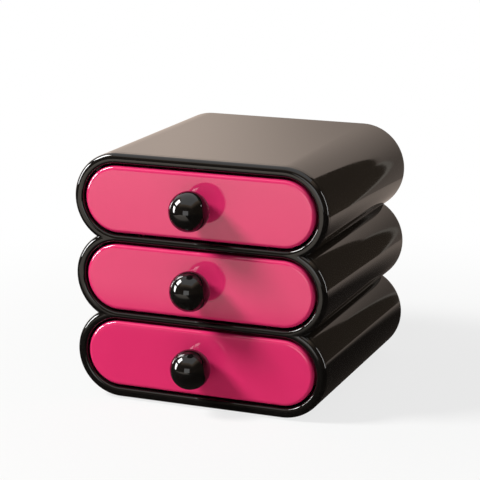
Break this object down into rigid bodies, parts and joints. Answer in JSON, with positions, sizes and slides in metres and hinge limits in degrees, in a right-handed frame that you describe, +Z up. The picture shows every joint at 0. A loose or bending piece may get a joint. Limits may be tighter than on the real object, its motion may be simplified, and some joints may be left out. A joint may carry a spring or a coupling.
{
  "type": "makeup drawer organizer",
  "caption": "Glossy desktop drawer box with stacked round-ended storeys, a rounded rim round each drawer, sliding drawers with coloured fronts and ball knobs, and a flat top.",
  "frame": {"origin": "on the table, under the middle of the whole outline with the drawers closed, knobs included", "axes": "+Z up, the drawers open towards -Y, +X to the right seen from the front"},
  "size_m": [0.222, 0.2476, 0.2105],
  "materials": {
    "gloss_black_abs": "polished moulding",
    "matte_black_abs": "plain moulding",
    "gloss_pink_abs": "polished moulding",
    "satin_pink_abs": "satin moulding",
    "foot_rubber": "matt",
    "insert_brass": "turned",
    "zinc_plated_steel": "zinc plated"
  },
  "bodies": {
    "housing": {"housing_shell": "gloss_black_abs", "front_bezel": "gloss_black_abs", "lower_shelf": "matte_black_abs", "upper_shelf": "matte_black_abs", "anti_slip_feet": "foot_rubber"},
    "lower_drawer": {"lower_drawer_tray": "satin_pink_abs", "lower_drawer_front": "gloss_pink_abs", "lower_knob": "gloss_black_abs", "lower_knob_insert": "insert_brass", "lower_knob_screw": "zinc_plated_steel"},
    "middle_drawer": {"middle_drawer_tray": "satin_pink_abs", "middle_drawer_front": "gloss_pink_abs", "middle_knob": "gloss_black_abs", "middle_knob_insert": "insert_brass", "middle_knob_screw": "zinc_plated_steel"},
    "upper_drawer": {"upper_drawer_tray": "satin_pink_abs", "upper_drawer_front": "gloss_pink_abs", "upper_knob": "gloss_black_abs", "upper_knob_insert": "insert_brass", "upper_knob_screw": "zinc_plated_steel"}
  },
  "joints": [
    {"name": "lower_drawer_slide", "type": "slide", "parent": "housing", "child": "lower_drawer", "axis": [0, -1, 0], "range_m": [0, 0.14]},
    {"name": "middle_drawer_slide", "type": "slide", "parent": "housing", "child": "middle_drawer", "axis": [0, -1, 0], "range_m": [0, 0.14]},
    {"name": "upper_drawer_slide", "type": "slide", "parent": "housing", "child": "upper_drawer", "axis": [0, -1, 0], "range_m": [0, 0.14]}
  ]
}
